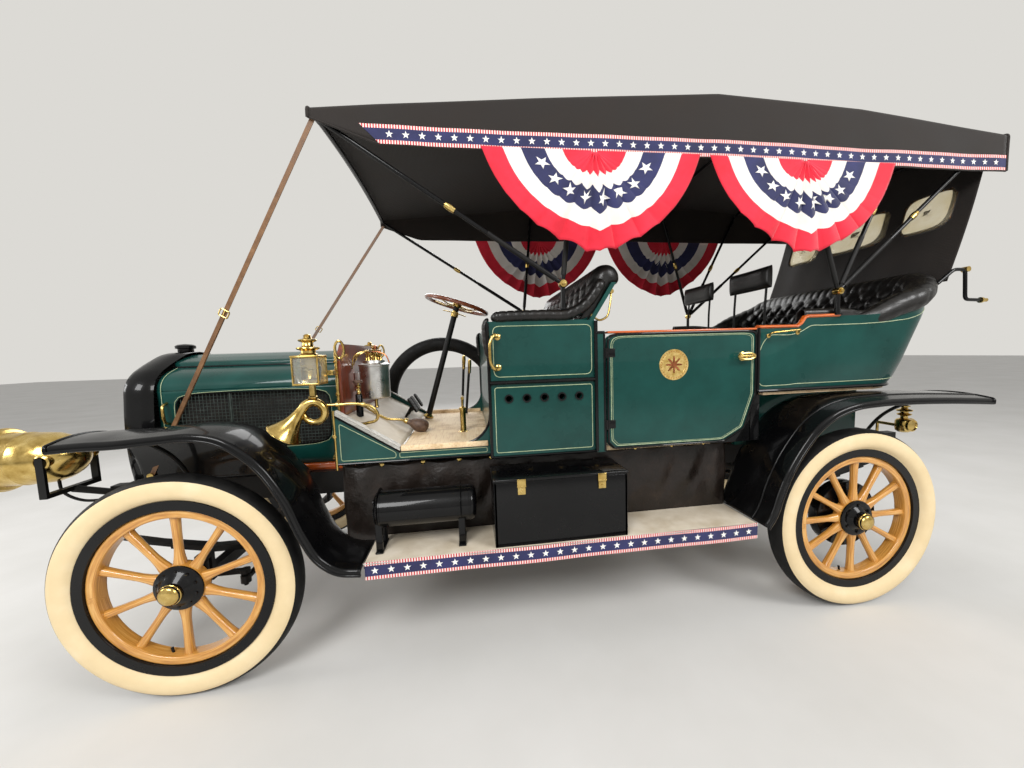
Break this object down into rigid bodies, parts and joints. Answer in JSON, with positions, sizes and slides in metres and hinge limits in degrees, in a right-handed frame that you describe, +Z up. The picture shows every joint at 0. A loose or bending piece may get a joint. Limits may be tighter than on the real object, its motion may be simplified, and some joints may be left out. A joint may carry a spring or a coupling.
{
  "type": "open steam touring car",
  "caption": "Open seven-seat steam touring car with a folding cloth top, wooden spoked wheels, long fenders, running boards, turning wheels, steering and side doors.",
  "frame": {"origin": "on the ground, on the centreline, at the middle of the overall length", "axes": "+X forward, +Y to the car's left, +Z up"},
  "size_m": [4.752, 1.64, 2.548],
  "materials": {
    "tyre_rubber": "satin",
    "wheel_wood": "varnished",
    "black_enamel": "gloss",
    "black_iron": "semi-gloss",
    "boiler_steel": "matt",
    "green_enamel": "gloss",
    "black_mesh": "satin",
    "mahogany": "varnished",
    "floor_wood": "satin",
    "wheel_rim_wood": "varnished",
    "black_leather": "semi-gloss",
    "board_covering": "matt",
    "brass": "polished",
    "top_cloth": "matt",
    "bunting_cloth": "woven",
    "bulb_rubber": "satin",
    "tan_leather": "satin"
  },
  "bodies": {
    "car": {"acetylene_tank": "black_enamel", "body_sills": "black_enamel", "bonnet": "green_enamel", "bonnet_mesh": "black_mesh", "boot": "green_enamel", "bunting": "bunting_cloth", "canopy": "top_cloth", "dash": "mahogany", "dash_fittings": "brass", "engine": "black_iron", "frame": "black_iron", "front_axle": "black_iron", "front_fenders": "black_enamel", "front_floor": "floor_wood", "front_seat_back": "black_leather", "front_seat_box": "green_enamel", "front_sills": "green_enamel", "headlamps": "brass", "horn": "brass", "horn_bulb": "bulb_rubber", "jump_seats": "black_leather", "pillars": "black_enamel", "radiator_core": "black_mesh", "radiator_shell": "black_enamel", "rear_axle": "black_iron", "rear_fenders": "black_enamel", "rear_seat_back": "black_leather", "running_boards": "board_covering", "seat_cushions": "black_leather", "side_and_tail_lamps": "brass", "spare_carrier": "black_enamel", "spare_tyre": "tyre_rubber", "splash_aprons": "black_leather", "springs": "black_iron", "steam_generator": "boiler_steel", "steering_column": "black_enamel", "tonneau_floor": "floor_wood", "tonneau_shell": "green_enamel", "tool_box": "black_enamel", "top_irons": "black_iron", "top_straps": "tan_leather"},
    "wheel_front_left": {"tyre_front_left": "tyre_rubber", "wood_wheel_front_left": "wheel_wood", "wheel_iron_front_left": "black_enamel"},
    "wheel_front_right": {"tyre_front_right": "tyre_rubber", "wood_wheel_front_right": "wheel_wood", "wheel_iron_front_right": "black_enamel"},
    "wheel_rear_left": {"tyre_rear_left": "tyre_rubber", "wood_wheel_rear_left": "wheel_wood", "wheel_iron_rear_left": "black_enamel"},
    "wheel_rear_right": {"tyre_rear_right": "tyre_rubber", "wood_wheel_rear_right": "wheel_wood", "wheel_iron_rear_right": "black_enamel"},
    "knuckle_left": {"knuckle_left": "black_iron"},
    "knuckle_right": {"knuckle_right": "black_iron"},
    "tie_rod": {"tie_rod": "black_iron"},
    "steering_wheel": {"steering_wheel": "wheel_rim_wood"},
    "door_left": {"door_left": "green_enamel"},
    "door_right": {"door_right": "green_enamel"},
    "tool_box_lid": {"tool_box_lid": "black_enamel"}
  },
  "joints": [
    {"name": "steer_left", "type": "hinge", "parent": "car", "child": "knuckle_left", "pos_m": [1.586, 0.596, 0.457], "axis": [0, 0, 1], "range_deg": [-30, 30]},
    {"name": "steer_right", "type": "hinge", "parent": "car", "child": "knuckle_right", "pos_m": [1.586, -0.596, 0.457], "axis": [0, 0, 1], "range_deg": [-30, 30]},
    {"name": "tie_rod_pin", "type": "hinge", "parent": "knuckle_left", "child": "tie_rod", "pos_m": [1.416, 0.596, 0.396], "axis": [0, 0, 1], "range_deg": [-30, 30]},
    {"name": "steering_wheel_turn", "type": "hinge", "parent": "car", "child": "steering_wheel", "pos_m": [0.465, -0.33, 1.68], "axis": [-0.2911, 0, 0.9567], "range_deg": [-270, 270]},
    {"name": "front_left_wheel_spin", "type": "hinge", "parent": "knuckle_left", "child": "wheel_front_left", "pos_m": [1.586, 0.711, 0.457], "axis": [0, 1, 0], "continuous": true},
    {"name": "rear_left_wheel_spin", "type": "hinge", "parent": "car", "child": "wheel_rear_left", "pos_m": [-1.513, 0.711, 0.457], "axis": [0, 1, 0], "continuous": true},
    {"name": "door_left_swing", "type": "hinge", "parent": "car", "child": "door_left", "pos_m": [-0.2255, 0.659, 1.15], "axis": [0, 0, -1], "range_deg": [0, 75]},
    {"name": "front_right_wheel_spin", "type": "hinge", "parent": "knuckle_right", "child": "wheel_front_right", "pos_m": [1.586, -0.711, 0.457], "axis": [0, 1, 0], "continuous": true},
    {"name": "rear_right_wheel_spin", "type": "hinge", "parent": "car", "child": "wheel_rear_right", "pos_m": [-1.513, -0.711, 0.457], "axis": [0, 1, 0], "continuous": true},
    {"name": "door_right_swing", "type": "hinge", "parent": "car", "child": "door_right", "pos_m": [-0.2255, -0.659, 1.15], "axis": [0, 0, 1], "range_deg": [0, 75]},
    {"name": "tool_box_lid_lift", "type": "hinge", "parent": "car", "child": "tool_box_lid", "pos_m": [0.024, 0.553, 0.8033], "axis": [1, 0, 0], "range_deg": [0, 14]}
  ],
  "couplings": [
    {"joint": "steer_right", "follows": "steer_left", "ratio": 1},
    {"joint": "tie_rod_pin", "follows": "steer_left", "ratio": -1},
    {"joint": "steering_wheel_turn", "follows": "steer_left", "ratio": 9}
  ]
}
